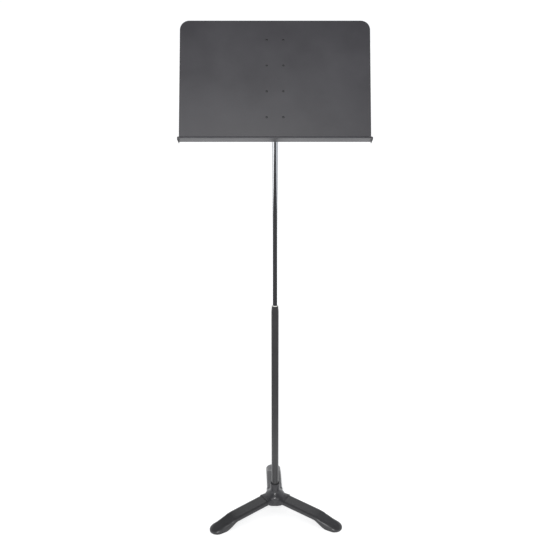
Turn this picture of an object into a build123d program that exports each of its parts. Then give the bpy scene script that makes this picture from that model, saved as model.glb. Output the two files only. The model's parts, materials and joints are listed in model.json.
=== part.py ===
from build123d import *
import os
from math import cos, hypot, radians, sin

# A music stand of the orchestra kind: a three-legged base with a fixed outer tube, a chrome
# inner tube that slides and turns in it, and a sheet-metal desk that tilts on a bolt.
# Millimetres. The origin is on the floor, under the middle of the mast. +Z is up and the
# musician sits on the -Y side, so the desk faces -Y, and +X is on the musician's right.
# The stand is built at its full height, with the desk leaning back at a reading angle.

# ---- driving dimensions ----

# desk: one folded sheet, a reading panel with a tray along its foot
DESK_WIDTH = 508.0
DESK_HEIGHT = 331.0
TRAY_DEPTH = 57.0
SHEET = 1.2
TOP_CORNER_R = 25.0
TRAY_CORNER_R = 14.0
FOLD_R = 4.0
HEM_WIDTH = 8.0
BEAD_R = 2.2
BEAD_END_GAP = 20.0
EAR_DROP = 7.0
DESK_TILT = 26.6

# tilt joint, inside the channel behind the desk
LIP_HEIGHT = 1216.0
PIVOT_UP = 105.0
PIVOT_BACK = 22.0
PIVOT_BOLT_R = 4.0
HINGE_GAP = 0.05
TONGUE_HALF = 9.9
TONGUE_R = 11.0
NECK_DROP = 16.0
FIBRE_WASHER = 1.4
SPRING_WASHER = 1.6
BOLT_HEAD_AF = 13.0
BOLT_HEAD_H = 5.3
NUT_H = 7.0

# channel riveted to the panel's back
CHANNEL_SHEET = 1.5
CHANNEL_HALF = 14.5
FLANGE_HALF = 32.0
CHANNEL_LOW = 18.0
CROWN_LOW = 150.0
CHANNEL_HIGH = 308.0
CHANNEL_DEPTH = 30.3
RIVET_FIRST = 67.0
RIVET_PITCH = 70.0
RIVET_ROWS = 4
RIVET_HALF_SPACING = 22.0
RIVET_R = 2.4
RIVET_TAIL_R = 4.0
RIVET_TAIL_H = 1.6

# tubes
OUTER_R = 11.1
OUTER_BORE_R = 9.6
OUTER_LOW = 40.0
OUTER_HIGH = 717.0
SWAGE_LOW = 695.0
MOUTH_R = 9.9
MOUTH_BORE_R = 9.0
INNER_R = 7.94
INNER_BORE_R = 6.74
INNER_LOW = 664.0
BUSH_BORE_R = 8.0
BUSH_LOW = 672.0

# clutch on the foot of the inner tube
CLUTCH_LENGTH = 30.0
CLUTCH_GAP = 0.3
CORE_R = 9.2
SHOE_R = 9.54
SHOE_BORE_R = 7.0
SPRING_BORE_R = 5.8
SHOE_SPLIT = 1.6
SPINDLE_R = 3.0
SPINDLE_HOLE_R = 3.05
END_PLUG_LENGTH = 21.5
CLIP_R = 5.0
CLIP_GROOVE_R = 2.5
CLIP_H = 1.0

# base: three channel-shaped legs in a cast hub
BASE_YAW = 1.7
LEG_SHEET = 2.0
LEG_HALF_WIDTH = 24.5
LEG_START = 22.0
LEG_KNEE = 152.0
LEG_SLOPE = 0.15
CROWN_AT_AXIS = 58.0
LEG_WALL = 10.5
LEG_SHOULDER = 8.0
TOE_R = 205.0
TOE_TOP = 20.0
FOOT_R = 235.5
TIP_TOP = 12.5
RIM_CLEARANCE = 2.0
PAD_TOP = 4.3
COLLAR_R = 15.5
COLLAR_TOP = 99.0
HUB_LOW = 24.0
HUB_ARM_END = 41.0
HUB_SKIN = 1.5
HUB_ROOF = 2.2
HUB_NECK_Z = 72.0
BELL_R = 31.0
BELL_TOP = 54.0
BELL_LOW = 32.0
SOCKET_GAP = 0.05
LEG_SCREW_R = 2.5
LEG_SCREW_REACH = 31.0
LEG_SCREW_HALF_SPACING = 9.0
LEG_SCREW_DEPTH = 3.0
LEG_SCREW_HEAD_R = 4.5
LEG_SCREW_HEAD_H = 3.0
BASE_BOLT_R = 5.0
BASE_BOLT_TOP = 60.0
BASE_BOLT_HEAD_AF = 17.0
BASE_BOLT_HEAD_H = 6.4
BASE_WASHER_R = 12.0
BASE_WASHER_H = 2.0
TUBE_PLUG_HIGH = 64.0

# ---- places worked out from them ----

PIVOT_Z = LIP_HEIGHT + PIVOT_UP * cos(radians(DESK_TILT)) - PIVOT_BACK * sin(radians(DESK_TILT))
INNER_HIGH = PIVOT_Z - NECK_DROP
CLUTCH_HIGH = INNER_LOW - CLUTCH_GAP
CLUTCH_LOW = INNER_LOW - CLUTCH_LENGTH
END_PLUG_HIGH = INNER_LOW + END_PLUG_LENGTH
PANEL_BACK = PIVOT_BACK - SHEET
PANEL_TOP = DESK_HEIGHT - PIVOT_UP
TRAY_UNDER = -PIVOT_UP
TRAY_FRONT = PIVOT_BACK + TRAY_DEPTH
CROWN_BACK = PANEL_BACK - CHANNEL_DEPTH
CHANNEL_INSIDE = CHANNEL_HALF - CHANNEL_SHEET
BEARINGS = {
    "front_left": 210.0 + BASE_YAW,
    "front_right": 330.0 + BASE_YAW,
    "rear": 90.0 + BASE_YAW,
}

# The desk's plane: x to the right, y up the panel, z out of its front, from the tilt pivot.
desk_plane = Plane(
    origin=(0, 0, PIVOT_Z),
    x_dir=(1, 0, 0),
    z_dir=(0, -cos(radians(DESK_TILT)), sin(radians(DESK_TILT))),
)
# The desk's cross-section: x out of the panel's front, y up the panel, z to the left.
desk_section = Plane(origin=desk_plane.origin, x_dir=desk_plane.z_dir, z_dir=(-1, 0, 0))
# The mast's cross-section at the pivot: x towards the musician, y up, z to the left.
mast_section = Plane(origin=(0, 0, PIVOT_Z), x_dir=(0, -1, 0), z_dir=(-1, 0, 0))


def save(piece, name):
    """Names a finished piece and writes it to its own file."""
    piece.part.label = name
    export_step(piece.part, f"parts/{name}.step")


def outward(bearing):
    """The level direction in which a leg runs."""
    return Vector(cos(radians(bearing)), sin(radians(bearing)), 0)


def leg_section(bearing):
    """A leg's upright middle plane: x out from the mast, y up."""
    out = outward(bearing)
    return Plane(origin=(0, 0, 0), x_dir=out, z_dir=out.cross(Vector(0, 0, 1)))


def leg_floor(bearing):
    """The floor, with x out along a leg."""
    return Plane(origin=(0, 0, 0), x_dir=outward(bearing), z_dir=(0, 0, 1))


def crown_height(reach):
    """Height of a leg's straight crown at a distance from the mast."""
    return CROWN_AT_AXIS - LEG_SLOPE * reach


def crown_plane(bearing, reach):
    """The plane that lies on a leg's straight crown, with z out of the crown."""
    out = outward(bearing)
    spot = out * reach + Vector(0, 0, crown_height(reach))
    downhill = out - Vector(0, 0, LEG_SLOPE)
    return Plane(origin=spot, x_dir=downhill, z_dir=out * LEG_SLOPE + Vector(0, 0, 1))


def leg_bar(bearing, inset, wall, rim):
    """A leg as a solid bar, smaller by inset on its top, its sides and its round tip."""
    half = LEG_HALF_WIDTH - inset
    tip = FOOT_R - inset
    drop = inset * hypot(1, LEG_SLOPE)

    def along_side_or_tip(edge):
        spot = leg_floor(bearing).to_local_coords(edge @ 0.5)
        return abs(spot.Y) > half - 0.01 or spot.X > tip - half + 0.01

    with BuildPart() as bar:
        with BuildSketch(leg_section(bearing)):
            with BuildLine():
                Polyline(
                    (LEG_START, crown_height(LEG_START) - drop),
                    (LEG_KNEE, crown_height(LEG_KNEE) - drop),
                    (TOE_R, TOE_TOP - drop),
                    (tip, TIP_TOP - drop),
                    (tip, rim),
                    (TOE_R, rim),
                    (LEG_KNEE, crown_height(LEG_KNEE) - wall),
                    (LEG_START, crown_height(LEG_START) - wall),
                    close=True,
                )
            make_face()
        extrude(amount=half, both=True)
        with BuildSketch(leg_floor(bearing).offset(-LEG_SHEET)):
            with Locations(((LEG_START + tip - half) / 2, 0)):
                Rectangle(tip - half - LEG_START, 2 * half)
            with Locations((tip - half, 0)):
                Circle(half)
        extrude(amount=CROWN_AT_AXIS + LEG_SHEET, mode=Mode.INTERSECT)
        crown = bar.faces().filter_by(lambda face: face.normal_at().Z > 0.5)
        fillet(crown.edges().filter_by(along_side_or_tip), radius=LEG_SHOULDER - inset)
    return bar.part


def ring(radius, bore, low, high):
    """A plain upright ring on the mast's axis."""
    with BuildPart() as piece:
        with BuildSketch(Plane.XY.offset(low)):
            Circle(radius)
            Circle(bore, mode=Mode.SUBTRACT)
        extrude(amount=high - low)
    return piece


os.makedirs("parts", exist_ok=True)

# ---- legs: pressed inverted channels with round drooping toes, and their rubber pads ----

for side, bearing in BEARINGS.items():
    with BuildPart() as leg:
        add(leg_bar(bearing, 0.0, LEG_WALL, RIM_CLEARANCE))
        add(leg_bar(bearing, LEG_SHEET, 2 * LEG_WALL, 0.0), mode=Mode.SUBTRACT)
        with Locations(crown_plane(bearing, LEG_SCREW_REACH)):
            with GridLocations(1, 2 * LEG_SCREW_HALF_SPACING, 1, 2):
                Hole(LEG_SCREW_R + SOCKET_GAP, depth=LEG_SHEET + 1)
    save(leg, f"leg_{side}")

    with BuildPart() as pad:
        pad_half = LEG_HALF_WIDTH - LEG_SHEET - SOCKET_GAP
        pad_middle = FOOT_R - LEG_HALF_WIDTH
        with BuildSketch(leg_floor(bearing)):
            with Locations(((TOE_R + pad_middle) / 2, 0)):
                Rectangle(pad_middle - TOE_R, 2 * pad_half)
            with Locations((pad_middle, 0)):
                Circle(pad_half)
        extrude(amount=PAD_TOP)
        chamfer(pad.faces().sort_by(Axis.Z)[0].edges(), length=0.8)
    save(pad, f"foot_pad_{side}")

# ---- hub: one casting with a collar for the tube and a socket for each leg ----

with BuildPart() as hub:
    for bearing in BEARINGS.values():
        half = LEG_HALF_WIDTH + HUB_SKIN
        with BuildSketch(leg_section(bearing)):
            with BuildLine():
                Polyline(
                    (0, HUB_LOW),
                    (14, HUB_LOW),
                    (HUB_ARM_END, crown_height(HUB_ARM_END) - LEG_WALL - HUB_SKIN),
                    (HUB_ARM_END, crown_height(HUB_ARM_END) + HUB_ROOF),
                    (0, crown_height(0) + HUB_ROOF),
                    close=True,
                )
            make_face()
        extrude(amount=half, both=True)
    with BuildSketch(Plane.XZ):
        with BuildLine():
            Polyline(
                (0, HUB_LOW),
                (20, HUB_LOW),
                (BELL_R, BELL_LOW),
                (BELL_R, BELL_TOP),
                (COLLAR_R, HUB_NECK_Z),
                (COLLAR_R, COLLAR_TOP),
                (0, COLLAR_TOP),
                close=True,
            )
        make_face()
    revolve(axis=Axis.Z)
    chamfer(hub.faces().sort_by(Axis.Z)[-1].edges(), length=1.2)
    for bearing in BEARINGS.values():
        add(leg_bar(bearing, -SOCKET_GAP, 3 * LEG_WALL, RIM_CLEARANCE), mode=Mode.SUBTRACT)
    with BuildSketch(Plane.XY.offset(OUTER_LOW)):
        Circle(OUTER_R + SOCKET_GAP)
    extrude(amount=COLLAR_TOP, mode=Mode.SUBTRACT)
    with BuildSketch(Plane.XY.offset(HUB_LOW)):
        Circle(BASE_BOLT_R + SOCKET_GAP)
    extrude(amount=OUTER_LOW, mode=Mode.SUBTRACT)
    for bearing in BEARINGS.values():
        with BuildSketch(crown_plane(bearing, LEG_SCREW_REACH)):
            with GridLocations(1, 2 * LEG_SCREW_HALF_SPACING, 1, 2):
                Circle(LEG_SCREW_R)
        extrude(amount=LEG_SCREW_DEPTH, mode=Mode.SUBTRACT)
save(hub, "base_hub")

with BuildPart() as leg_screws:
    for bearing in BEARINGS.values():
        underside = crown_plane(bearing, LEG_SCREW_REACH).offset(-LEG_SHEET)
        with BuildSketch(underside):
            with GridLocations(1, 2 * LEG_SCREW_HALF_SPACING, 1, 2):
                Circle(LEG_SCREW_R)
        extrude(amount=LEG_SHEET + LEG_SCREW_DEPTH)
        with BuildSketch(underside):
            with GridLocations(1, 2 * LEG_SCREW_HALF_SPACING, 1, 2):
                Circle(LEG_SCREW_HEAD_R)
        extrude(amount=-LEG_SCREW_HEAD_H)
        with BuildSketch(underside.offset(-LEG_SCREW_HEAD_H)):
            with GridLocations(1, 2 * LEG_SCREW_HALF_SPACING, 1, 2):
                RegularPolygon(LEG_SCREW_R / 2, 6)
        extrude(amount=LEG_SCREW_HEAD_H / 2, mode=Mode.SUBTRACT)
save(leg_screws, "leg_screws")

# ---- outer tube, swaged in at its mouth, with its threaded foot plug, bolt and washer ----

with BuildPart() as outer_tube:
    with BuildSketch(Plane.XZ):
        with BuildLine():
            Polyline(
                (MOUTH_BORE_R, SWAGE_LOW + 6),
                (OUTER_BORE_R, SWAGE_LOW),
                (OUTER_BORE_R, OUTER_LOW),
                (OUTER_R, OUTER_LOW),
                (OUTER_R, SWAGE_LOW),
            )
            Spline(
                (OUTER_R, SWAGE_LOW),
                ((OUTER_R + MOUTH_R) / 2 + 0.2, (SWAGE_LOW + OUTER_HIGH) / 2 + 2),
                (MOUTH_R, OUTER_HIGH - 1),
            )
            Polyline(
                (MOUTH_R, OUTER_HIGH - 1),
                (MOUTH_R - 0.4, OUTER_HIGH),
                (MOUTH_BORE_R, OUTER_HIGH),
                (MOUTH_BORE_R, SWAGE_LOW + 6),
            )
        make_face()
    revolve(axis=Axis.Z)
save(outer_tube, "outer_tube")

with BuildPart() as tube_plug:
    with BuildSketch(Plane.XY.offset(OUTER_LOW)):
        Circle(OUTER_BORE_R)
        Circle(BASE_BOLT_R, mode=Mode.SUBTRACT)
    extrude(amount=TUBE_PLUG_HIGH - OUTER_LOW)
save(tube_plug, "tube_foot_plug")

save(ring(BASE_WASHER_R, BASE_BOLT_R, HUB_LOW - BASE_WASHER_H, HUB_LOW), "base_washer")

with BuildPart() as base_bolt:
    with BuildSketch(Plane.XY.offset(HUB_LOW - BASE_WASHER_H)):
        Circle(BASE_BOLT_R)
    extrude(amount=BASE_BOLT_TOP - HUB_LOW + BASE_WASHER_H)
    chamfer(base_bolt.faces().sort_by(Axis.Z)[-1].edges(), length=1.0)
    with BuildSketch(Plane.XY.offset(HUB_LOW - BASE_WASHER_H)):
        RegularPolygon(BASE_BOLT_HEAD_AF / 2, 6, major_radius=False)
    extrude(amount=-BASE_BOLT_HEAD_H)
save(base_bolt, "base_bolt")

with BuildPart() as guide_bush:
    with BuildSketch(Plane.XZ):
        with BuildLine():
            Polyline(
                (BUSH_BORE_R, BUSH_LOW),
                (OUTER_BORE_R - SOCKET_GAP, BUSH_LOW),
                (OUTER_BORE_R - SOCKET_GAP, SWAGE_LOW - 0.1),
                (MOUTH_BORE_R - SOCKET_GAP, SWAGE_LOW + 5.9),
                (MOUTH_BORE_R - SOCKET_GAP, OUTER_HIGH + 1.5),
                (BUSH_BORE_R, OUTER_HIGH + 1.5),
                close=True,
            )
        make_face()
    revolve(axis=Axis.Z)
save(guide_bush, "guide_bush")

# ---- clutch: a turning foot on the inner tube, with two sprung shoes that grip the bore ----

SHOE_LOW = CLUTCH_LOW + 6
SHOE_HIGH = CLUTCH_HIGH - 6
CLIP_LOW = END_PLUG_HIGH + CLUTCH_GAP

with BuildPart() as clutch_core:
    with BuildSketch(Plane.XZ):
        with BuildLine():
            Polyline(
                (0, CLUTCH_LOW),
                (CORE_R - 1.5, CLUTCH_LOW),
                (CORE_R, CLUTCH_LOW + 1.5),
                (CORE_R, SHOE_LOW),
                (SPRING_BORE_R, SHOE_LOW),
                (SPRING_BORE_R, SHOE_HIGH),
                (CORE_R, SHOE_HIGH),
                (CORE_R, CLUTCH_HIGH),
                (SPINDLE_R, CLUTCH_HIGH),
                (SPINDLE_R, CLIP_LOW),
                (CLIP_GROOVE_R, CLIP_LOW),
                (CLIP_GROOVE_R, CLIP_LOW + CLIP_H),
                (SPINDLE_R, CLIP_LOW + CLIP_H),
                (SPINDLE_R, CLIP_LOW + 3 * CLIP_H),
                (0, CLIP_LOW + 3 * CLIP_H),
                close=True,
            )
        make_face()
    revolve(axis=Axis.Z)
save(clutch_core, "clutch_core")

with BuildPart() as clutch_shoes:
    with BuildSketch(Plane.XY.offset(SHOE_LOW)):
        Circle(SHOE_R)
        Circle(SHOE_BORE_R, mode=Mode.SUBTRACT)
        Rectangle(SHOE_SPLIT, 2 * OUTER_R, mode=Mode.SUBTRACT)
    extrude(amount=SHOE_HIGH - SHOE_LOW)
save(clutch_shoes, "clutch_shoes")

with BuildPart() as clutch_spring:
    with BuildSketch(Plane.XY.offset(SHOE_LOW)):
        Circle(SHOE_BORE_R)
        Circle(SPRING_BORE_R, mode=Mode.SUBTRACT)
        with Locations((0, OUTER_R / 2)):
            Rectangle(2 * SHOE_SPLIT, OUTER_R, mode=Mode.SUBTRACT)
    extrude(amount=SHOE_HIGH - SHOE_LOW)
save(clutch_spring, "clutch_spring")

with BuildPart() as clutch_clip:
    with BuildSketch(Plane.XY.offset(CLIP_LOW)):
        Circle(CLIP_R)
        Circle(CLIP_GROOVE_R, mode=Mode.SUBTRACT)
        with Locations((0, CLIP_R / 2)):
            Rectangle(CLIP_GROOVE_R, CLIP_R, mode=Mode.SUBTRACT)
    extrude(amount=CLIP_H)
save(clutch_clip, "clutch_clip")

# ---- mast: inner tube with a plug in each end, the upper one carrying the tilt tongue ----

save(ring(INNER_R, INNER_BORE_R, INNER_LOW, INNER_HIGH), "inner_tube")
save(ring(INNER_BORE_R, SPINDLE_HOLE_R, INNER_LOW, END_PLUG_HIGH), "mast_end_plug")

with BuildPart() as tongue:
    with BuildSketch(mast_section):
        Circle(TONGUE_R)
        with Locations((0, -NECK_DROP / 2 + 1)):
            Rectangle(2 * INNER_R - 1, NECK_DROP - 2)
    extrude(amount=TONGUE_HALF, both=True)
    with BuildSketch(Plane.XY.offset(INNER_HIGH)):
        Circle(INNER_R)
    extrude(amount=3.0)
    with BuildSketch(Plane.XY.offset(INNER_HIGH)):
        Circle(INNER_BORE_R)
    extrude(amount=-30.0)
    with BuildSketch(mast_section):
        Circle(PIVOT_BOLT_R + HINGE_GAP)
    extrude(amount=2 * TONGUE_HALF, both=True, mode=Mode.SUBTRACT)
save(tongue, "tilt_tongue")

# ---- tilt bolt with its nut and washers, which turn with the desk ----


def pair_of_washers(radius, thickness, inner_face):
    """Two like washers on the tilt bolt, one each side of the tongue."""
    with BuildPart() as pair:
        for direction in (1, -1):
            with BuildSketch(desk_section.offset(direction * inner_face)):
                Circle(radius)
                Circle(PIVOT_BOLT_R, mode=Mode.SUBTRACT)
            extrude(amount=direction * thickness)
    return pair


FIBRE_FACE = CHANNEL_INSIDE - SPRING_WASHER - FIBRE_WASHER
SPRING_FACE = CHANNEL_INSIDE - SPRING_WASHER
save(pair_of_washers(TONGUE_R - 1, FIBRE_WASHER, FIBRE_FACE), "fibre_washers")
save(pair_of_washers(TONGUE_R - 3, SPRING_WASHER, SPRING_FACE), "spring_washers")

with BuildPart() as tilt_bolt:
    with BuildSketch(desk_section.offset(CHANNEL_HALF + NUT_H + 2)):
        Circle(PIVOT_BOLT_R)
    extrude(amount=-(2 * CHANNEL_HALF + NUT_H + 2))
    with BuildSketch(desk_section.offset(-CHANNEL_HALF)):
        RegularPolygon(BOLT_HEAD_AF / 2, 6, major_radius=False)
    extrude(amount=-BOLT_HEAD_H)
save(tilt_bolt, "tilt_bolt")

with BuildPart() as tilt_nut:
    with BuildSketch(desk_section.offset(CHANNEL_HALF)):
        RegularPolygon(BOLT_HEAD_AF / 2, 6, major_radius=False)
        Circle(PIVOT_BOLT_R, mode=Mode.SUBTRACT)
    extrude(amount=NUT_H)
save(tilt_nut, "tilt_nut")

# ---- channel behind the desk: a hat section, open at its foot where the mast enters ----


def rivet_places():
    """The rivets' places on the desk's plane."""
    rows = [RIVET_FIRST + row * RIVET_PITCH - PIVOT_UP for row in range(RIVET_ROWS)]
    return [(x, row) for row in rows for x in (-RIVET_HALF_SPACING, RIVET_HALF_SPACING)]


def channel_profile(crown):
    """The outline of a channel wall, from the panel's back to a crown depth."""
    Polyline(
        (PANEL_BACK, CHANNEL_LOW - PIVOT_UP),
        (PANEL_BACK, CHANNEL_HIGH - PIVOT_UP),
        (crown + 14, CHANNEL_HIGH - PIVOT_UP),
        (crown, CHANNEL_HIGH - PIVOT_UP - 60),
        (crown, -TONGUE_R),
        (crown + 5, -TONGUE_R - 9),
        (crown + 16, CHANNEL_LOW - PIVOT_UP),
        close=True,
    )


with BuildPart() as channel:
    with BuildSketch(desk_section):
        with BuildLine():
            channel_profile(CROWN_BACK)
        make_face()
    extrude(amount=CHANNEL_HALF, both=True)
    with BuildSketch(desk_plane.offset(PANEL_BACK)):
        with Locations((0, (CHANNEL_LOW + CHANNEL_HIGH) / 2 - PIVOT_UP)):
            RectangleRounded(2 * FLANGE_HALF, CHANNEL_HIGH - CHANNEL_LOW, 6)
    extrude(amount=-CHANNEL_SHEET)
    with BuildSketch(desk_section):
        with BuildLine():
            channel_profile(CROWN_BACK + CHANNEL_SHEET)
        make_face()
    extrude(amount=CHANNEL_INSIDE, both=True, mode=Mode.SUBTRACT)
    with BuildSketch(desk_section):
        with Locations((PANEL_BACK - CHANNEL_DEPTH, CHANNEL_LOW - PIVOT_UP)):
            Rectangle(2 * CHANNEL_DEPTH, 2 * (CROWN_LOW - CHANNEL_LOW))
    extrude(amount=CHANNEL_INSIDE, both=True, mode=Mode.SUBTRACT)
    with BuildSketch(desk_section):
        Circle(PIVOT_BOLT_R)
    extrude(amount=2 * CHANNEL_HALF, both=True, mode=Mode.SUBTRACT)
    with BuildSketch(desk_plane.offset(PANEL_BACK)):
        with Locations(*rivet_places()):
            Circle(RIVET_R)
    extrude(amount=-CHANNEL_SHEET, mode=Mode.SUBTRACT)
save(channel, "desk_channel")

# ---- desk: panel and tray folded from one sheet, with hemmed and beaded edges ----

with BuildPart() as desk:
    bend = (PIVOT_BACK + FOLD_R, TRAY_UNDER + SHEET + FOLD_R)
    with BuildSketch(desk_section):
        with BuildLine():
            Polyline(
                (PIVOT_BACK, bend[1]),
                (PIVOT_BACK, PANEL_TOP),
                (PANEL_BACK, PANEL_TOP),
                (PANEL_BACK, bend[1]),
            )
            CenterArc(bend, FOLD_R + SHEET, 180, 90)
            Polyline(
                (bend[0], TRAY_UNDER),
                (TRAY_FRONT, TRAY_UNDER),
                (TRAY_FRONT, TRAY_UNDER + SHEET),
                (bend[0], TRAY_UNDER + SHEET),
            )
            CenterArc(bend, FOLD_R, 270, -90)
        make_face()
    extrude(amount=DESK_WIDTH / 2, both=True)
    ends = desk.edges().filter_by(lambda edge: abs(abs(edge.center().X) - DESK_WIDTH / 2) < 0.01)
    short = ends.filter_by(lambda edge: abs(edge.length - SHEET) < 0.01)
    fillet(short.sort_by(Axis.Z)[-2:], radius=TOP_CORNER_R)
    fillet(short.sort_by(Axis.Y)[:2], radius=TRAY_CORNER_R)
    with BuildSketch(desk_plane.offset(PANEL_BACK)):
        foot = bend[1] + 2
        with Locations((0, (PANEL_TOP + foot) / 2)):
            Rectangle(DESK_WIDTH, PANEL_TOP - foot)
        fillet(vertices().group_by(Axis.Y)[-1], radius=TOP_CORNER_R)
        with Locations((0, (PANEL_TOP - HEM_WIDTH + foot - 1) / 2)):
            Rectangle(DESK_WIDTH - 2 * HEM_WIDTH, PANEL_TOP - HEM_WIDTH - foot + 1, mode=Mode.SUBTRACT)
    extrude(amount=-SHEET)
    with BuildSketch(desk_section):
        with Locations((TRAY_FRONT - BEAD_R, TRAY_UNDER + SHEET - BEAD_R)):
            Circle(BEAD_R)
    extrude(amount=DESK_WIDTH / 2 - BEAD_END_GAP, both=True)
    for side in (1, -1):
        with BuildSketch(desk_section.offset(side * DESK_WIDTH / 2)):
            with Locations((bend[0], TRAY_UNDER - EAR_DROP)):
                Rectangle(
                    TRAY_FRONT - TRAY_CORNER_R - bend[0], EAR_DROP + SHEET, align=(Align.MIN, Align.MIN)
                )
        extrude(amount=-side * SHEET)
    with BuildSketch(desk_plane.offset(PIVOT_BACK)):
        with Locations(*rivet_places()):
            Circle(RIVET_R)
    extrude(amount=-SHEET, mode=Mode.SUBTRACT)
save(desk, "desk_sheet")

with BuildPart() as rivets:
    with BuildSketch(desk_plane.offset(PIVOT_BACK)):
        with Locations(*rivet_places()):
            Circle(RIVET_R)
    extrude(amount=-(SHEET + CHANNEL_SHEET))
    with BuildSketch(desk_plane.offset(PANEL_BACK - CHANNEL_SHEET)):
        with Locations(*rivet_places()):
            Circle(RIVET_TAIL_R)
    extrude(amount=-RIVET_TAIL_H)
save(rivets, "desk_rivets")
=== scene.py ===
import json
from math import atan, cos, hypot, pi, radians, sin, sqrt

import bmesh
import bpy
from mathutils import Matrix, Vector


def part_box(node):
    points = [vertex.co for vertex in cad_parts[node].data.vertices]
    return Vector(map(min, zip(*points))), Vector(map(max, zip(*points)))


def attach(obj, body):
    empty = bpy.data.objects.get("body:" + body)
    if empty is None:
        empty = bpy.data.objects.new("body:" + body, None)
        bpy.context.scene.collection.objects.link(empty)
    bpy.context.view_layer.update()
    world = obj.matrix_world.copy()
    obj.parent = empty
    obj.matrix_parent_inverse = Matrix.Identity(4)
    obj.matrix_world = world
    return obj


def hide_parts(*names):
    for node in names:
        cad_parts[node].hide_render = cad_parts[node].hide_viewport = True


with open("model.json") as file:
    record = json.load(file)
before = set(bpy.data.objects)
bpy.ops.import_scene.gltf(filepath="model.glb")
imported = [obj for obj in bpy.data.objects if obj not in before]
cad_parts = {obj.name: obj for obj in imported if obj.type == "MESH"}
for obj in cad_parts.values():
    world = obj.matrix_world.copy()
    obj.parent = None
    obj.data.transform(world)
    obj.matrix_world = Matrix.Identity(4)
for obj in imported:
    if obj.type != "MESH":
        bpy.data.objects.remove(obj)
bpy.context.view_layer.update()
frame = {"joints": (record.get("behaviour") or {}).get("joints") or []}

# ==== studio ====
# The stand is looked at from straight ahead, from a standing person's eye height.
# It stands on a seamless white floor in soft light that comes from all round it.

scene = bpy.context.scene
scene.view_settings.view_transform = "Standard"

EYE_DISTANCE = 2.237
EYE_HEIGHT = 1.697
LOOK_DOWN = radians(21.56)

camera_data = bpy.data.cameras.new("camera")
camera_data.sensor_width = 36.0
camera_data.lens = 54.5
camera = bpy.data.objects.new("camera", camera_data)
camera.location = (0.0, -EYE_DISTANCE, EYE_HEIGHT)
camera.rotation_euler = (pi / 2 - LOOK_DOWN, 0.0, 0.0)
scene.collection.objects.link(camera)
scene.camera = camera

world = bpy.data.worlds.new("white_room")
world.use_nodes = True
world.node_tree.nodes["Background"].inputs["Color"].default_value = (0.97, 0.98, 1.0, 1.0)
world.node_tree.nodes["Background"].inputs["Strength"].default_value = 1.06
scene.world = world


def soft_box(name, place, aim, width, height, power):
    """A large soft lamp that points from its place towards a spot."""
    lamp = bpy.data.lights.new(name, "AREA")
    lamp.shape = "RECTANGLE"
    lamp.size = width
    lamp.size_y = height
    lamp.energy = power
    holder = bpy.data.objects.new(name, lamp)
    holder.location = place
    holder.rotation_euler = (Vector(aim) - Vector(place)).to_track_quat("-Z", "Y").to_euler()
    scene.collection.objects.link(holder)


soft_box("reading_box", (-0.22, -3.2, 2.70), (0.0, 0.0, 1.3), 0.6, 0.4, 84.0)
soft_box("back_box", (0.0, 3.2, 2.4), (0.0, 0.0, 0.6), 2.4, 1.2, 16.0)


def flat_sheet(name, low, high, height):
    """A level rectangle of the studio between two corners."""
    bm = bmesh.new()
    bmesh.ops.create_grid(bm, x_segments=1, y_segments=1, size=0.5)
    span = (high[0] - low[0], high[1] - low[1], 1.0)
    middle = ((high[0] + low[0]) / 2, (high[1] + low[1]) / 2, height)
    bm.transform(Matrix.Translation(middle) @ Matrix.Diagonal((*span, 1.0)))
    mesh = bpy.data.meshes.new(name)
    bm.to_mesh(mesh)
    bm.free()
    sheet = bpy.data.objects.new(name, mesh)
    scene.collection.objects.link(sheet)
    return sheet


def plain_finish(name, colour, roughness):
    """A plain even finish for the studio itself."""
    finish = bpy.data.materials.new(name)
    finish.use_nodes = True
    shader = finish.node_tree.nodes["Principled BSDF"]
    shader.inputs["Base Color"].default_value = (*colour, 1.0)
    shader.inputs["Roughness"].default_value = roughness
    return finish


floor = flat_sheet("floor", (-14.0, -14.0), (14.0, 14.0), 0.0)
floor.data.materials.append(plain_finish("white_floor", (0.45, 0.45, 0.45), 0.9))
floor_shader = floor.data.materials[0].node_tree.nodes["Principled BSDF"]
floor_shader.inputs["Emission Color"].default_value = (1.0, 1.0, 1.0, 1.0)
floor_shader.inputs["Emission Strength"].default_value = 0.60

# Sheets that only reflections see: dark cloth on the floor round the viewer, greyer cloth
# to the two sides, white paper under the stand and behind it, dark cloth far behind, and
# a dark ceiling overhead.
SCREENS = (
    ("dark_cloth", (-3.35, -7.5), (3.35, 0.35), 0.002, (0.012, 0.012, 0.014)),
    ("grey_cloth_right", (3.35, -7.5), (7.0, 2.0), 0.002, (0.50, 0.51, 0.53)),
    ("grey_cloth_left", (-7.0, -0.35), (-3.35, 0.35), 0.002, (0.16, 0.16, 0.17)),
    ("white_paper_behind", (-1.3, 0.5), (1.3, 2.8), 0.004, (0.97, 0.97, 0.97)),
    ("dark_cloth_behind", (-7.0, 2.8), (7.0, 13.0), 0.002, (0.05, 0.05, 0.055)),
    ("white_paper", (-0.45, -0.45), (0.45, 0.45), 0.004, (0.93, 0.93, 0.93)),
    ("dark_ceiling", (-5.0, -4.0), (5.0, 8.5), 4.0, (0.010, 0.010, 0.012)),
)
for name, low, high, height, colour in SCREENS:
    screen = flat_sheet(name, low, high, height)
    screen.data.materials.append(plain_finish(name, colour, 1.0))
    screen.visible_camera = False
    screen.visible_diffuse = False
    screen.visible_shadow = False

# ==== desk ====
# The reading panel and its tray are one sheet of steel, 1.2 mm thick. The panel's rim is
# hemmed back, the tray is folded up from its foot, its front edge is curled under and its
# two ends are turned down. It is powder coated in a fine-textured charcoal black.

tilt_pivot = Vector(next(j["pos_m"] for j in frame["joints"] if j["name"] == "desk_tilt"))
DESK_TILT = radians(26.6)
desk_place = Matrix.Translation(tilt_pivot) @ Matrix.Rotation(pi / 2 - DESK_TILT, 4, "X")

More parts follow.
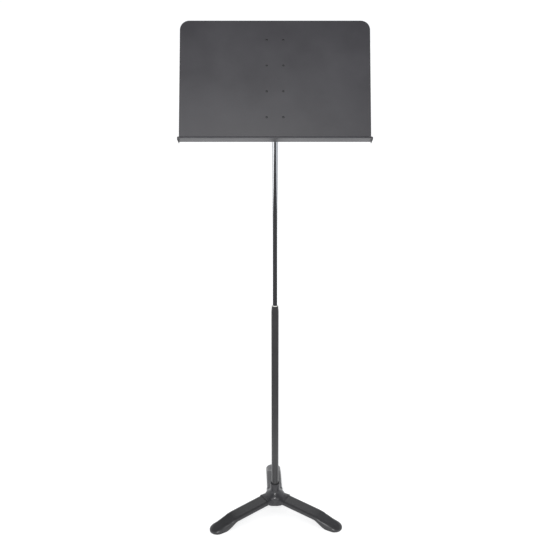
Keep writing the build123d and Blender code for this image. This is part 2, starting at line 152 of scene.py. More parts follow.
SHEET = 0.0012
HALF_WIDTH = (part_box("desk_sheet")[1].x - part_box("desk_sheet")[0].x) / 2
PANEL_FRONT = 0.022
PANEL_TOP = 0.226
TRAY_UNDER = -0.105
TRAY_TOP = TRAY_UNDER + SHEET
TRAY_DEPTH = 0.057
FOLD_R = 0.004
CORNER_R = 0.025
TRAY_CORNER_R = 0.006
HEM_R = 0.00125
HEM_WIDTH = 0.008
CURL_R = 0.0022
CURL_TURN = radians(290)
EAR_DROP = 0.0065
EAR_CORNER_R = 0.004
HEM_FOOT_GAP = 0.003
HEM_STEPS = 6


def powder_coat(name, deep, pale, roughness, texture):
    """Baked paint on steel: a fine pebbled skin over slight unevenness of tone and gloss."""
    coat = bpy.data.materials.new(name)
    coat.use_nodes = True
    nodes = coat.node_tree.nodes
    link = coat.node_tree.links.new
    shader = nodes["Principled BSDF"]
    shader.inputs["IOR"].default_value = 1.46
    place = nodes.new("ShaderNodeTexCoord").outputs["Object"]

    cloudy = nodes.new("ShaderNodeTexNoise")
    cloudy.inputs["Scale"].default_value = 9.0
    cloudy.inputs["Detail"].default_value = 4.0
    link(place, cloudy.inputs["Vector"])
    speckle = nodes.new("ShaderNodeTexNoise")
    speckle.inputs["Scale"].default_value = 2600.0
    speckle.inputs["Detail"].default_value = 2.0
    link(place, speckle.inputs["Vector"])

    both = nodes.new("ShaderNodeMath")
    both.operation = "MULTIPLY_ADD"
    both.inputs[1].default_value = 0.35
    link(speckle.outputs["Fac"], both.inputs[0])
    link(cloudy.outputs["Fac"], both.inputs[2])
    tone = nodes.new("ShaderNodeValToRGB")
    tone.color_ramp.elements[0].position = 0.4
    tone.color_ramp.elements[0].color = (*deep, 1.0)
    tone.color_ramp.elements[1].position = 0.95
    tone.color_ramp.elements[1].color = (*pale, 1.0)
    link(both.outputs["Value"], tone.inputs["Fac"])
    link(tone.outputs["Color"], shader.inputs["Base Color"])

    gloss = nodes.new("ShaderNodeMapRange")
    gloss.inputs["To Min"].default_value = roughness - 0.05
    gloss.inputs["To Max"].default_value = roughness + 0.07
    link(cloudy.outputs["Fac"], gloss.inputs["Value"])
    link(gloss.outputs["Result"], shader.inputs["Roughness"])

    pebbles = nodes.new("ShaderNodeBump")
    pebbles.inputs["Strength"].default_value = texture
    pebbles.inputs["Distance"].default_value = 0.0001
    link(speckle.outputs["Fac"], pebbles.inputs["Height"])
    link(pebbles.outputs["Normal"], shader.inputs["Normal"])
    return coat


def into_scene(name, bm, finish):
    """Makes a shape in a bmesh an object of the scene, in its finish."""
    mesh = bpy.data.meshes.new(name)
    bm.to_mesh(mesh)
    bm.free()
    mesh.materials.append(finish)
    made = bpy.data.objects.new(name, mesh)
    scene.collection.objects.link(made)
    return made


def sheet_metal(made, gauge, edge):
    """Gives a bent skin its thickness, breaks its edges and evens its shading."""
    wall = made.modifiers.new("wall", "SOLIDIFY")
    wall.thickness = gauge
    wall.offset = -1.0
    wall.use_even_offset = True
    broken = made.modifiers.new("broken_edges", "BEVEL")
    broken.width = edge
    broken.segments = 2
    broken.limit_method = "ANGLE"
    broken.angle_limit = radians(50)
    made.data.shade_smooth()
    even = made.modifiers.new("even_shading", "WEIGHTED_NORMAL")
    even.keep_sharp = True


def pull_edge(bm, edges, shift):
    """Extends a sheet from some of its edges by one flat strip, and returns the new edges."""
    pulled = bmesh.ops.extrude_edge_only(bm, edges=edges)["geom"]
    verts = [part for part in pulled if isinstance(part, bmesh.types.BMVert)]
    bmesh.ops.translate(bm, verts=verts, vec=shift)
    return [part for part in pulled if isinstance(part, bmesh.types.BMEdge)]


def rim_point(x, y, inset):
    """The point of the panel's rim nearest to a point, moved in by inset."""
    turn_x = HALF_WIDTH - CORNER_R
    turn_y = PANEL_TOP - CORNER_R
    reach_x = abs(x) - turn_x
    reach_y = y - turn_y
    sign = 1.0 if x > 0 else -1.0
    if reach_x > 0 and reach_y > 0:
        scale = (CORNER_R - inset) / hypot(reach_x, reach_y)
        return sign * (turn_x + reach_x * scale), turn_y + reach_y * scale
    if reach_y > 0:
        return x, PANEL_TOP - inset
    return sign * (HALF_WIDTH - inset), y


bm = bmesh.new()
fold_y = TRAY_TOP + FOLD_R
hem_foot = fold_y + HEM_FOOT_GAP
side_x = HALF_WIDTH - HEM_R
top_y = PANEL_TOP - HEM_R
outline = [(-side_x, fold_y), (side_x, fold_y), (side_x, top_y), (-side_x, top_y)]
bm.faces.new([bm.verts.new((x, y, PANEL_FRONT)) for x, y in outline])
top_corners = [v for v in bm.verts if v.co.y > 0]
bmesh.ops.bevel(
    bm, geom=top_corners, offset=CORNER_R - HEM_R, segments=12, profile=0.5, affect="VERTICES", material=-1
)
whole = bm.verts[:] + bm.edges[:] + bm.faces[:]
bmesh.ops.bisect_plane(bm, geom=whole, plane_co=(0, hem_foot, 0), plane_no=(0, 1, 0))

hem_edges = [e for e in bm.edges if e.is_boundary and min(v.co.y for v in e.verts) > hem_foot - 1e-6]
for step in range(1, HEM_STEPS + 1):
    roll = pi * step / HEM_STEPS
    hem_edges = pull_edge(bm, hem_edges, (0, 0, 0))
    for vert in {v for e in hem_edges for v in e.verts}:
        vert.co.x, vert.co.y = rim_point(vert.co.x, vert.co.y, HEM_R - HEM_R * sin(roll))
        vert.co.z = PANEL_FRONT - HEM_R * (1 - cos(roll))
hem_edges = pull_edge(bm, hem_edges, (0, 0, 0))
for vert in {v for e in hem_edges for v in e.verts}:
    vert.co.x, vert.co.y = rim_point(vert.co.x, vert.co.y, HEM_WIDTH)

foot_edge = [e for e in bm.edges if e.is_boundary and max(v.co.y for v in e.verts) < fold_y + 1e-6]
folded = bmesh.ops.spin(
    bm, geom=foot_edge, cent=(0, fold_y, PANEL_FRONT + FOLD_R), axis=(1, 0, 0), angle=-pi / 2, steps=8
)["geom_last"]
fold_end = [part for part in folded if isinstance(part, bmesh.types.BMEdge)]
tray_edge = pull_edge(bm, fold_end, (0, 0, TRAY_DEPTH - FOLD_R - CURL_R))
tray_corners = [v for e in tray_edge for v in e.verts]
bmesh.ops.bevel(
    bm, geom=tray_corners, offset=TRAY_CORNER_R, segments=10, profile=0.5, affect="VERTICES", material=-1
)
front_z = PANEL_FRONT + TRAY_DEPTH - CURL_R
front_edge = [e for e in bm.edges if all(abs(v.co.z - front_z) < 1e-6 for v in e.verts)]
bmesh.ops.spin(
    bm, geom=front_edge, cent=(0, TRAY_TOP - CURL_R, front_z), axis=(1, 0, 0), angle=CURL_TURN, steps=16
)
end_edges = [
    e for e in bm.edges
    if e.is_boundary and all(abs(v.co.y - TRAY_TOP) < 1e-6 for v in e.verts)
    and abs(e.verts[0].co.x - e.verts[1].co.x) < 1e-6
]
ear_edges = pull_edge(bm, end_edges, (0, -EAR_DROP, 0))
ear_corners = list({v for e in ear_edges for v in e.verts if v.co.y < TRAY_TOP - EAR_DROP / 2})
bmesh.ops.bevel(
    bm, geom=ear_corners, offset=EAR_CORNER_R, segments=5, profile=0.5, affect="VERTICES", material=-1
)
bm.transform(desk_place)
bmesh.ops.recalc_face_normals(bm, faces=bm.faces[:])
charcoal_coat = powder_coat("charcoal_powder_coat", (0.018, 0.017, 0.021), (0.028, 0.027, 0.032), 0.40, 0.35)
folded_desk = into_scene("folded_desk", bm, charcoal_coat)
sheet_metal(folded_desk, SHEET, 0.0003)
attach(folded_desk, "desk")
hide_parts("desk_sheet")

# ==== channel behind the desk ====
# A hat-section channel, pressed from 1.5 mm steel and coated with the desk, stiffens the
# panel and carries the tilt bolt. Its crown is cut away at the foot, where the mast enters,
# and it runs out to a shallow open end near the panel's top.

CHANNEL_GAUGE = 0.0015
CHANNEL_HALF = 0.0145
FLANGE_HALF = 0.032
FLANGE_BACK = PANEL_FRONT - SHEET - CHANNEL_GAUGE
CROWN_BACK = -0.0095
CHANNEL_STATIONS = [
    (-0.087, CROWN_BACK + 0.016),
    (-0.020, CROWN_BACK + 0.005),
    (-0.011, CROWN_BACK),
    (0.045, CROWN_BACK),
    (0.143, CROWN_BACK),
    (0.203, CROWN_BACK + 0.014),
]
SLOT_END = 0.045
BEND_R = 0.0022
FLANGE_CORNER_R = 0.006
CLEAR_OF_FLANGE = FLANGE_BACK - 0.001


def chain_of(bm, points):
    """An open line of edges through some points."""
    verts = [bm.verts.new(point) for point in points]
    return [bm.edges.new(pair) for pair in zip(verts, verts[1:])]


bm = bmesh.new()
foot, foot_crown = CHANNEL_STATIONS[0]
hat_line = [
    (-FLANGE_HALF, foot, FLANGE_BACK),
    (-CHANNEL_HALF, foot, FLANGE_BACK),
    (-CHANNEL_HALF, foot, foot_crown),
    (CHANNEL_HALF, foot, foot_crown),
    (CHANNEL_HALF, foot, FLANGE_BACK),
    (FLANGE_HALF, foot, FLANGE_BACK),
]
hat_edges = chain_of(bm, hat_line)
for (start, _), (end, crown_back) in zip(CHANNEL_STATIONS, CHANNEL_STATIONS[1:]):
    hat_edges = pull_edge(bm, hat_edges, (0, end - start, 0))
    for vert in {v for e in hat_edges for v in e.verts}:
        if vert.co.z < CLEAR_OF_FLANGE:
            vert.co.z = crown_back
open_crown = [
    f for f in bm.faces
    if all(v.co.z < CLEAR_OF_FLANGE for v in f.verts) and f.calc_center_median().y < SLOT_END
]
bmesh.ops.delete(bm, geom=open_crown, context="FACES")
bends = [
    e for e in bm.edges
    if len(e.link_faces) == 2 and abs(e.verts[0].co.x) < FLANGE_HALF - 0.001
    and abs(e.verts[0].co.x - e.verts[1].co.x) < 1e-6
]
bmesh.ops.bevel(bm, geom=bends, offset=BEND_R, segments=4, profile=0.5, affect="EDGES", material=-1)
channel_ends = (foot, CHANNEL_STATIONS[-1][0])
flange_corners = [
    v for v in bm.verts
    if abs(v.co.x) > FLANGE_HALF - 1e-6 and min(abs(v.co.y - end) for end in channel_ends) < 1e-6
]
bmesh.ops.bevel(
    bm, geom=flange_corners, offset=FLANGE_CORNER_R, segments=6, profile=0.5, affect="VERTICES",
    material=-1,
)
bmesh.ops.recalc_face_normals(bm, faces=bm.faces[:])
crown_face = min(bm.faces, key=lambda f: f.calc_center_median().z)
if crown_face.normal.z > 0:
    bmesh.ops.reverse_faces(bm, faces=bm.faces[:])
bm.transform(desk_place)
hat_channel = into_scene("hat_channel", bm, charcoal_coat)
sheet_metal(hat_channel, CHANNEL_GAUGE, 0.0003)
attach(hat_channel, "desk")
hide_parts("desk_channel")

# ==== desk rivets ====
# Eight blackened rivets, in four pairs up the middle of the panel, hold the channel. Their
# heads are set nearly flush in the panel's front and their tails are peened over behind.

RIVET_R = 0.0024
RIVET_HEAD_R = 0.0031
RIVET_HEAD_RISE = 0.0006
RIVET_TAIL_R = 0.004
RIVET_TAIL_H = 0.0016
RIVET_ROWS = [-0.038, 0.032, 0.102, 0.172]
RIVET_X = 0.022


def turned(points, steps):
    """A shape turned on the Z axis from (radius, height) points, which may end on the axis."""
    bm = bmesh.new()
    line = [(radius, 0.0, height) for radius, height in points]
    edges = chain_of(bm, line)
    bmesh.ops.spin(
        bm, geom=bm.verts[:] + edges, cent=(0, 0, 0), axis=(0, 0, 1), angle=2 * pi, steps=steps,
        use_merge=True,
    )
    bmesh.ops.remove_doubles(bm, verts=bm.verts[:], dist=1e-7)
    bmesh.ops.recalc_face_normals(bm, faces=bm.faces[:])
    return bm


def add_shape(bm, shape, place):
    """Puts a finished shape into another mesh, at a place."""
    shape.transform(place)
    carrier = bpy.data.meshes.new("carrier")
    shape.to_mesh(carrier)
    shape.free()
    bm.from_mesh(carrier)
    bpy.data.meshes.remove(carrier)


def smooth_but_for_corners(made, corner):
    """Shades a piece smooth, and keeps every edge sharper than corner, in degrees, crisp."""
    made.data.shade_smooth()
    made.data.set_sharp_from_angle(angle=radians(corner))


bm = bmesh.new()
rivet_line = [
    (0.0, PANEL_FRONT + RIVET_HEAD_RISE),
    (0.0016, PANEL_FRONT + 0.0005),
    (0.0028, PANEL_FRONT + 0.0002),
    (RIVET_HEAD_R, PANEL_FRONT),
    (RIVET_R, PANEL_FRONT - 0.0002),
    (RIVET_R, FLANGE_BACK),
    (RIVET_TAIL_R, FLANGE_BACK),
    (0.0037, FLANGE_BACK - 0.0008),
    (0.0025, FLANGE_BACK - 0.0014),
    (0.0, FLANGE_BACK - RIVET_TAIL_H),
]
for row in RIVET_ROWS:
    for column in (-RIVET_X, RIVET_X):
        add_shape(bm, turned(rivet_line, 24), desk_place @ Matrix.Translation((column, row, 0)))
blackened = powder_coat("blackened_rivet", (0.004, 0.004, 0.005), (0.007, 0.007, 0.008), 0.50, 0.1)
panel_rivets = into_scene("panel_rivets", bm, blackened)
smooth_but_for_corners(panel_rivets, 40)
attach(panel_rivets, "desk")
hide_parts("desk_rivets")

# ==== tilt bolt, nut and washers ====
# An 8 mm black bolt goes across the channel and through the mast's tongue. A lock nut
# pulls two dished spring washers and two fibre washers against the tongue, and their
# grip holds the desk at any angle.

BOLT_R = 0.004
HEX_ACROSS = 0.013
HEAD_HEIGHT = 0.0053
NUT_HEIGHT = 0.007
FIBRE = 0.0014
SPRING = 0.0016
THREAD_PITCH = 0.00125
THREAD_DEPTH = 0.0006
BOLT_END = 0.0020
NUT_COLLAR_R = 0.0058
BOLT_CLEARANCE_R = BOLT_R + 0.0001
across_desk = Matrix.Translation(tilt_pivot) @ Matrix.Rotation(-pi / 2, 4, "Y")


def steel(name, colour, roughness, grain):
    """Bare or plated steel: metal with a fine uneven gloss and a faint grain."""
    metal = bpy.data.materials.new(name)
    metal.use_nodes = True
    nodes = metal.node_tree.nodes
    link = metal.node_tree.links.new
    shader = nodes["Principled BSDF"]
    shader.inputs["Metallic"].default_value = 1.0
    place = nodes.new("ShaderNodeTexCoord").outputs["Object"]
    spots = nodes.new("ShaderNodeTexNoise")
    spots.inputs["Scale"].default_value = 420.0
    spots.inputs["Detail"].default_value = 5.0
    link(place, spots.inputs["Vector"])
    tone = nodes.new("ShaderNodeValToRGB")
    tone.color_ramp.elements[0].position = 0.3
    tone.color_ramp.elements[0].color = (*[0.82 * part for part in colour], 1.0)
    tone.color_ramp.elements[1].position = 0.7
    tone.color_ramp.elements[1].color = (*colour, 1.0)
    link(spots.outputs["Fac"], tone.inputs["Fac"])
    link(tone.outputs["Color"], shader.inputs["Base Color"])
    gloss = nodes.new("ShaderNodeMapRange")
    gloss.inputs["To Min"].default_value = roughness - 0.06
    gloss.inputs["To Max"].default_value = roughness + 0.08
    link(spots.outputs["Fac"], gloss.inputs["Value"])
    link(gloss.outputs["Result"], shader.inputs["Roughness"])
    fine = nodes.new("ShaderNodeBump")
    fine.inputs["Strength"].default_value = grain
    fine.inputs["Distance"].default_value = 0.00005
    link(spots.outputs["Fac"], fine.inputs["Height"])
    link(fine.outputs["Normal"], shader.inputs["Normal"])
    return metal


def hexagon(across, low, high, corner):
    """A six-sided head or nut on the Z axis, with its end corners taken off."""
    bm = bmesh.new()
    radius = across / sqrt(3)
    bmesh.ops.create_cone(
        bm, cap_ends=True, segments=6, radius1=radius, radius2=radius, depth=high - low
    )
    bmesh.ops.translate(bm, verts=bm.verts[:], vec=(0, 0, (low + high) / 2))
    rim = [e for e in bm.edges if abs(e.verts[0].co.z - e.verts[1].co.z) < 1e-7]
    bmesh.ops.bevel(bm, geom=rim, offset=corner, segments=2, profile=0.5, affect="EDGES", material=-1)
    return bm


def thread_line(radius, low, high):
    """The outline of a threaded stretch, as (radius, height) points going up."""
    turns = max(1, round((high - low) / THREAD_PITCH))
    pitch = (high - low) / turns
    line = []
    for turn in range(turns):
        line.append((radius - THREAD_DEPTH, low + turn * pitch + 0.1 * pitch))
        line.append((radius, low + turn * pitch + 0.5 * pitch))
    return line


bm = bmesh.new()
head_face = -CHANNEL_HALF
nut_face = CHANNEL_HALF + NUT_HEIGHT
shank = [(0.0, head_face), (BOLT_R, head_face), (BOLT_R, CHANNEL_HALF)]
shank += thread_line(BOLT_R, CHANNEL_HALF, nut_face + 0.0014)
shank += [(BOLT_R - 0.0010, nut_face + BOLT_END), (0.0, nut_face + BOLT_END)]
add_shape(bm, turned(shank, 40), across_desk)
add_shape(bm, hexagon(HEX_ACROSS, head_face - HEAD_HEIGHT, head_face, 0.0006), across_desk)
black_oxide = steel("black_oxide", (0.055, 0.055, 0.058), 0.38, 0.3)
tilt_screw = into_scene("tilt_screw", bm, black_oxide)
smooth_but_for_corners(tilt_screw, 28)
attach(tilt_screw, "desk")
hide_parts("tilt_bolt")

bm = hexagon(HEX_ACROSS, CHANNEL_HALF, CHANNEL_HALF + NUT_HEIGHT * 0.75, 0.0006)
collar_foot = CHANNEL_HALF + NUT_HEIGHT * 0.74
nut_collar = [
    (0.0048, collar_foot),
    (NUT_COLLAR_R, collar_foot),
    (NUT_COLLAR_R, CHANNEL_HALF + NUT_HEIGHT * 0.92),
    (0.0052, nut_face),
    (BOLT_CLEARANCE_R, nut_face),
    (BOLT_CLEARANCE_R, collar_foot),
    (0.0048, collar_foot),
]
add_shape(bm, turned(nut_collar, 40), Matrix.Identity(4))
bm.transform(across_desk)
lock_nut = into_scene("lock_nut", bm, black_oxide)
smooth_but_for_corners(lock_nut, 28)
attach(lock_nut, "desk")
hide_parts("tilt_nut")

inner_face = CHANNEL_HALF - CHANNEL_GAUGE
spring_face = inner_face - SPRING
red_fibre = powder_coat("vulcanised_fibre", (0.16, 0.035, 0.02), (0.24, 0.06, 0.035), 0.7, 0.5)
spring_temper = steel("spring_temper", (0.30, 0.30, 0.31), 0.32, 0.3)
for name, node, slot, finish, radius, low, high, dish in (
    ("fibre_rings", "fibre_washers", "red_fibre", red_fibre, 0.010, spring_face - FIBRE, spring_face, 0.0),
    ("spring_rings", "spring_washers", "spring_steel", spring_temper, 0.008, spring_face, inner_face, 0.0006),
):
    washer_line = [
        (BOLT_CLEARANCE_R, low + dish),
        (BOLT_CLEARANCE_R, high),
        (BOLT_R + 0.0010, high),
        (radius - 0.0003, high - dish),
        (radius, high - dish - 0.0003),
        (radius, low + 0.0002),
        (radius - 0.0002, low),
        (BOLT_CLEARANCE_R, low + dish),
    ]
    bm = bmesh.new()
    for side in (0.0, pi):
        add_shape(bm, turned(washer_line, 48), across_desk @ Matrix.Rotation(side, 4, "X"))
    rings = into_scene(name, bm, finish)
    smooth_but_for_corners(rings, 30)
    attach(rings, "desk")
    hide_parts(node)

# ==== tilt tongue ====
# A steel tongue with a round eye, welded on a plug that is pressed into the mast's top. The
# tilt bolt goes through its eye. It is zinc plated, and the rims of its flat sides are broken.

TONGUE_HALF = 0.0099
TONGUE_R = 0.011
NECK_DROP = 0.016
NECK_HALF = 0.0074
NECK_TOP = -0.0082
FLANGE_R = 0.0079
FLANGE_TOP = 0.0022 - NECK_DROP
WELD_TOP = 0.0032 - NECK_DROP
PLUG_R = 0.00674
PLUG_LENGTH = 0.030

bm = bmesh.new()
foot_left = bm.verts.new((-TONGUE_HALF, -NECK_HALF, 0.003 - NECK_DROP))
side_left = bm.verts.new((-TONGUE_HALF, -NECK_HALF, NECK_TOP))
arc_start = bm.verts.new((-TONGUE_HALF, -TONGUE_R, 0.0))
bm.edges.new((foot_left, side_left))
bm.edges.new((side_left, arc_start))
swept = bmesh.ops.spin(
    bm, geom=[arc_start], cent=(-TONGUE_HALF, 0, 0), axis=(1, 0, 0), angle=-pi, steps=28
)["geom_last"]
arc_end = next(part for part in swept if isinstance(part, bmesh.types.BMVert))
side_right = bm.verts.new((-TONGUE_HALF, NECK_HALF, NECK_TOP))
foot_right = bm.verts.new((-TONGUE_HALF, NECK_HALF, 0.003 - NECK_DROP))
bm.edges.new((arc_end, side_right))
bm.edges.new((side_right, foot_right))
bm.edges.new((foot_right, foot_left))
cheek = bmesh.ops.contextual_create(bm, geom=bm.edges[:])["faces"]
thick = bmesh.ops.extrude_face_region(bm, geom=cheek)["geom"]
far_verts = [part for part in thick if isinstance(part, bmesh.types.BMVert)]
bmesh.ops.translate(bm, verts=far_verts, vec=(2 * TONGUE_HALF, 0, 0))
outer_edges = [e for e in bm.edges if abs(e.verts[0].co.x - e.verts[1].co.x) < 1e-7]
bmesh.ops.bevel(
    bm, geom=outer_edges, offset=0.0007, segments=3, profile=0.5, affect="EDGES", clamp_overlap=True,
    material=-1,
)
bmesh.ops.recalc_face_normals(bm, faces=bm.faces[:])
plug_low = -NECK_DROP - PLUG_LENGTH
plug_line = [
    (0.0, plug_low),
    (PLUG_R - 0.0010, plug_low),
    (PLUG_R, plug_low + 0.0010),
    (PLUG_R, -NECK_DROP),
    (FLANGE_R, -NECK_DROP),
    (FLANGE_R, FLANGE_TOP),
    (0.0070, WELD_TOP),
    (0.0, WELD_TOP),
]
add_shape(bm, turned(plug_line, 64), Matrix.Identity(4))
bm.transform(Matrix.Translation(tilt_pivot))
tongue_zinc = steel("tongue_zinc", (0.60, 0.60, 0.58), 0.34, 0.4)
tilt_eye = into_scene("tilt_eye", bm, tongue_zinc)
smooth_but_for_corners(tilt_eye, 30)
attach(tilt_eye, "mast")
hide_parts("tilt_tongue")

# ==== inner tube ====
# A drawn steel tube, 5/8 in across, polished and chrome plated. It slides up and down and
# turns in the outer tube. Its plating has the faint lengthwise marks that the bush leaves.

INNER_R = 0.00794
INNER_BORE = 0.00674
tube_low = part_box("inner_tube")[0].z
tube_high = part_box("inner_tube")[1].z


def tube_line(radius, bore, low, high, break_edge):
    """The closed outline of a plain tube's wall, with its end corners broken."""
    return [
        (bore, low),
        (radius - break_edge, low),
        (radius, low + break_edge),
        (radius, high - break_edge),
        (radius - break_edge, high),
        (bore, high),
        (bore, low),
    ]


def chrome_plate():
    """Polished chrome: a clean mirror with faint marks along the tube."""
    plate = bpy.data.materials.new("chrome_plate")
    plate.use_nodes = True
    nodes = plate.node_tree.nodes
    link = plate.node_tree.links.new
    shader = nodes["Principled BSDF"]
    shader.inputs["Metallic"].default_value = 1.0
    shader.inputs["Base Color"].default_value = (0.84, 0.85, 0.87, 1.0)
    place = nodes.new("ShaderNodeTexCoord").outputs["Object"]
    along = nodes.new("ShaderNodeMapping")
    along.inputs["Scale"].default_value = (1500.0, 1500.0, 9.0)
    link(place, along.inputs["Vector"])
    marks = nodes.new("ShaderNodeTexNoise")
    marks.inputs["Scale"].default_value = 1.0
    marks.inputs["Detail"].default_value = 3.0
    link(along.outputs["Vector"], marks.inputs["Vector"])
    gloss = nodes.new("ShaderNodeMapRange")
    gloss.inputs["From Min"].default_value = 0.35
    gloss.inputs["From Max"].default_value = 0.8
    gloss.inputs["To Min"].default_value = 0.04
    gloss.inputs["To Max"].default_value = 0.14
    link(marks.outputs["Fac"], gloss.inputs["Value"])
    link(gloss.outputs["Result"], shader.inputs["Roughness"])
    return plate


bm = turned(tube_line(INNER_R, INNER_BORE, tube_low, tube_high, 0.0004), 96)
chrome_mast = into_scene("chrome_mast", bm, chrome_plate())
smooth_but_for_corners(chrome_mast, 30)
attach(chrome_mast, "mast")
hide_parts("inner_tube")

# ==== outer tube ====
# A steel tube, 7/8 in across, enamelled satin black. Its mouth is swaged in over the last
# 22 mm and rounded over, to hold the bush and to stop the clutch at full height.

OUTER_R = 0.0111
OUTER_BORE = 0.0096
MOUTH_R = 0.0099
MOUTH_BORE = 0.0090
SWAGE = 0.022
SWAGE_STEPS = 14
BORE_TAPER = 0.006
LIP_RISE = 0.0008
LIP_STEPS = 6
outer_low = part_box("outer_tube")[0].z
outer_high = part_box("outer_tube")[1].z
swage_low = outer_high - SWAGE


def gently(share):
    """Goes smoothly from 0 to 1 as share does."""
    share = min(1.0, max(0.0, share))
    return share * share * (3 - 2 * share)


outer_line = [(OUTER_BORE, outer_low), (OUTER_R - 0.0003, outer_low), (OUTER_R, outer_low + 0.0003)]
for step in range(SWAGE_STEPS + 1):
    share = step / SWAGE_STEPS
    radius = OUTER_R + (MOUTH_R - OUTER_R) * gently(share)
    outer_line.append((radius, swage_low + (SWAGE - LIP_RISE) * share))
lip_middle = (MOUTH_R + MOUTH_BORE) / 2
lip_r = (MOUTH_R - MOUTH_BORE) / 2
for step in range(1, LIP_STEPS + 1):
    turn = pi * step / LIP_STEPS
    outer_line.append((lip_middle + lip_r * cos(turn), outer_high - LIP_RISE + LIP_RISE * sin(turn)))
outer_line += [(MOUTH_BORE, swage_low + BORE_TAPER), (OUTER_BORE, swage_low), (OUTER_BORE, outer_low)]
satin_enamel = powder_coat("satin_enamel", (0.026, 0.026, 0.027), (0.036, 0.036, 0.037), 0.34, 0.12)
black_sleeve = into_scene("black_sleeve", turned(outer_line, 96), satin_enamel)
smooth_but_for_corners(black_sleeve, 30)
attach(black_sleeve, "base")
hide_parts("outer_tube")

# ==== guide bush ====
# A turned nylon bush inside the outer tube's mouth centres the inner tube. Only its rim
# shows, as a thin pale ring round the chrome.

BUSH_BORE = 0.0080
BUSH_R = OUTER_BORE - 0.00005
BUSH_RIM_R = MOUTH_BORE - 0.00005
bush_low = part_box("guide_bush")[0].z
bush_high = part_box("guide_bush")[1].z


def moulded(name, colour, roughness):
    """Moulded or turned plastic or rubber, with a soft mottle and a dull skin."""
    plastic = bpy.data.materials.new(name)
    plastic.use_nodes = True
    nodes = plastic.node_tree.nodes
    link = plastic.node_tree.links.new
    shader = nodes["Principled BSDF"]
    place = nodes.new("ShaderNodeTexCoord").outputs["Object"]
    mottle = nodes.new("ShaderNodeTexNoise")
    mottle.inputs["Scale"].default_value = 900.0
    mottle.inputs["Detail"].default_value = 3.0
    link(place, mottle.inputs["Vector"])
    tone = nodes.new("ShaderNodeValToRGB")
    tone.color_ramp.elements[0].position = 0.3
    tone.color_ramp.elements[0].color = (*[0.85 * part for part in colour], 1.0)
    tone.color_ramp.elements[1].position = 0.7
    tone.color_ramp.elements[1].color = (*colour, 1.0)
    link(mottle.outputs["Fac"], tone.inputs["Fac"])
    link(tone.outputs["Color"], shader.inputs["Base Color"])
    gloss = nodes.new("ShaderNodeMapRange")
    gloss.inputs["To Min"].default_value = roughness - 0.06
    gloss.inputs["To Max"].default_value = roughness + 0.06
    link(mottle.outputs["Fac"], gloss.inputs["Value"])
    link(gloss.outputs["Result"], shader.inputs["Roughness"])
    skin = nodes.new("ShaderNodeBump")
    skin.inputs["Strength"].default_value = 0.3
    skin.inputs["Distance"].default_value = 0.0001
    link(mottle.outputs["Fac"], skin.inputs["Height"])
    link(skin.outputs["Normal"], shader.inputs["Normal"])
    return plastic


bush_line = [
    (BUSH_BORE, bush_low),
    (BUSH_R, bush_low),
    (BUSH_R, swage_low - 0.0001),
    (BUSH_RIM_R, swage_low + BORE_TAPER - 0.0002),
    (BUSH_RIM_R, bush_high - 0.0004),
    (BUSH_RIM_R - 0.0002, bush_high),
    (BUSH_BORE + 0.0002, bush_high),
    (BUSH_BORE, bush_high - 0.0003),
    (BUSH_BORE, bush_low),
]
natural_nylon = moulded("natural_nylon", (0.66, 0.66, 0.62), 0.5)
mouth_bush = into_scene("mouth_bush", turned(bush_line, 96), natural_nylon)
smooth_but_for_corners(mouth_bush, 30)
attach(mouth_bush, "base")
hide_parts("guide_bush")

# ==== legs ====
# Three like legs, each pressed from 2 mm steel as an upside-down channel with rounded
# shoulders. Past a knee the channel is flattened into a drooping, spoon-like toe that
# comes down to the floor. They are enamelled satin black.

BASE_YAW = radians(1.7)
BEARINGS = {
    "front_left": radians(210) + BASE_YAW,
    "front_right": radians(330) + BASE_YAW,
    "rear": radians(90) + BASE_YAW,
}
LEG_GAUGE = 0.0020
LEG_HALF = 0.0245
LEG_START = 0.022
LEG_TIP = 0.2352
TOE_MIDDLE = LEG_TIP - LEG_HALF
STRAIGHT_SHARE = 0.75
KNEE = 0.154
SLOPE = 0.15
DROOP = 0.125
CROWN_AT_AXIS = 0.058
WALL = 0.0105
SHOULDER = 0.0085
TOE_SHOULDER = 0.0165
TOE_STEP = 0.0016
TIP_WALL = 0.0055
RIM = 0.0021
KNEE_SOFTNESS = 0.010
RIM_FALL_START = KNEE - 0.006
RIM_FALL_RUN = 0.048
CREASE_START = KNEE + 0.004
CREASE_BOW = 0.005
STEP_RUN = 0.010
SPOON_RUN = 0.060
ALONG_LEG = 96
ACROSS_LEG = 28


def crown_height(reach):
    """The height of a leg's crown at a distance from the mast, with a soft knee."""
    past_knee = 0.5 * ((reach - KNEE) + hypot(reach - KNEE, KNEE_SOFTNESS))
    return CROWN_AT_AXIS - SLOPE * reach - DROOP * past_knee


def rim_height(reach):
    """The height of the lower edge of a leg's walls."""
    share = gently((reach - RIM_FALL_START) / RIM_FALL_RUN)
    return (CROWN_AT_AXIS - SLOPE * reach - WALL) * (1 - share) + RIM * share


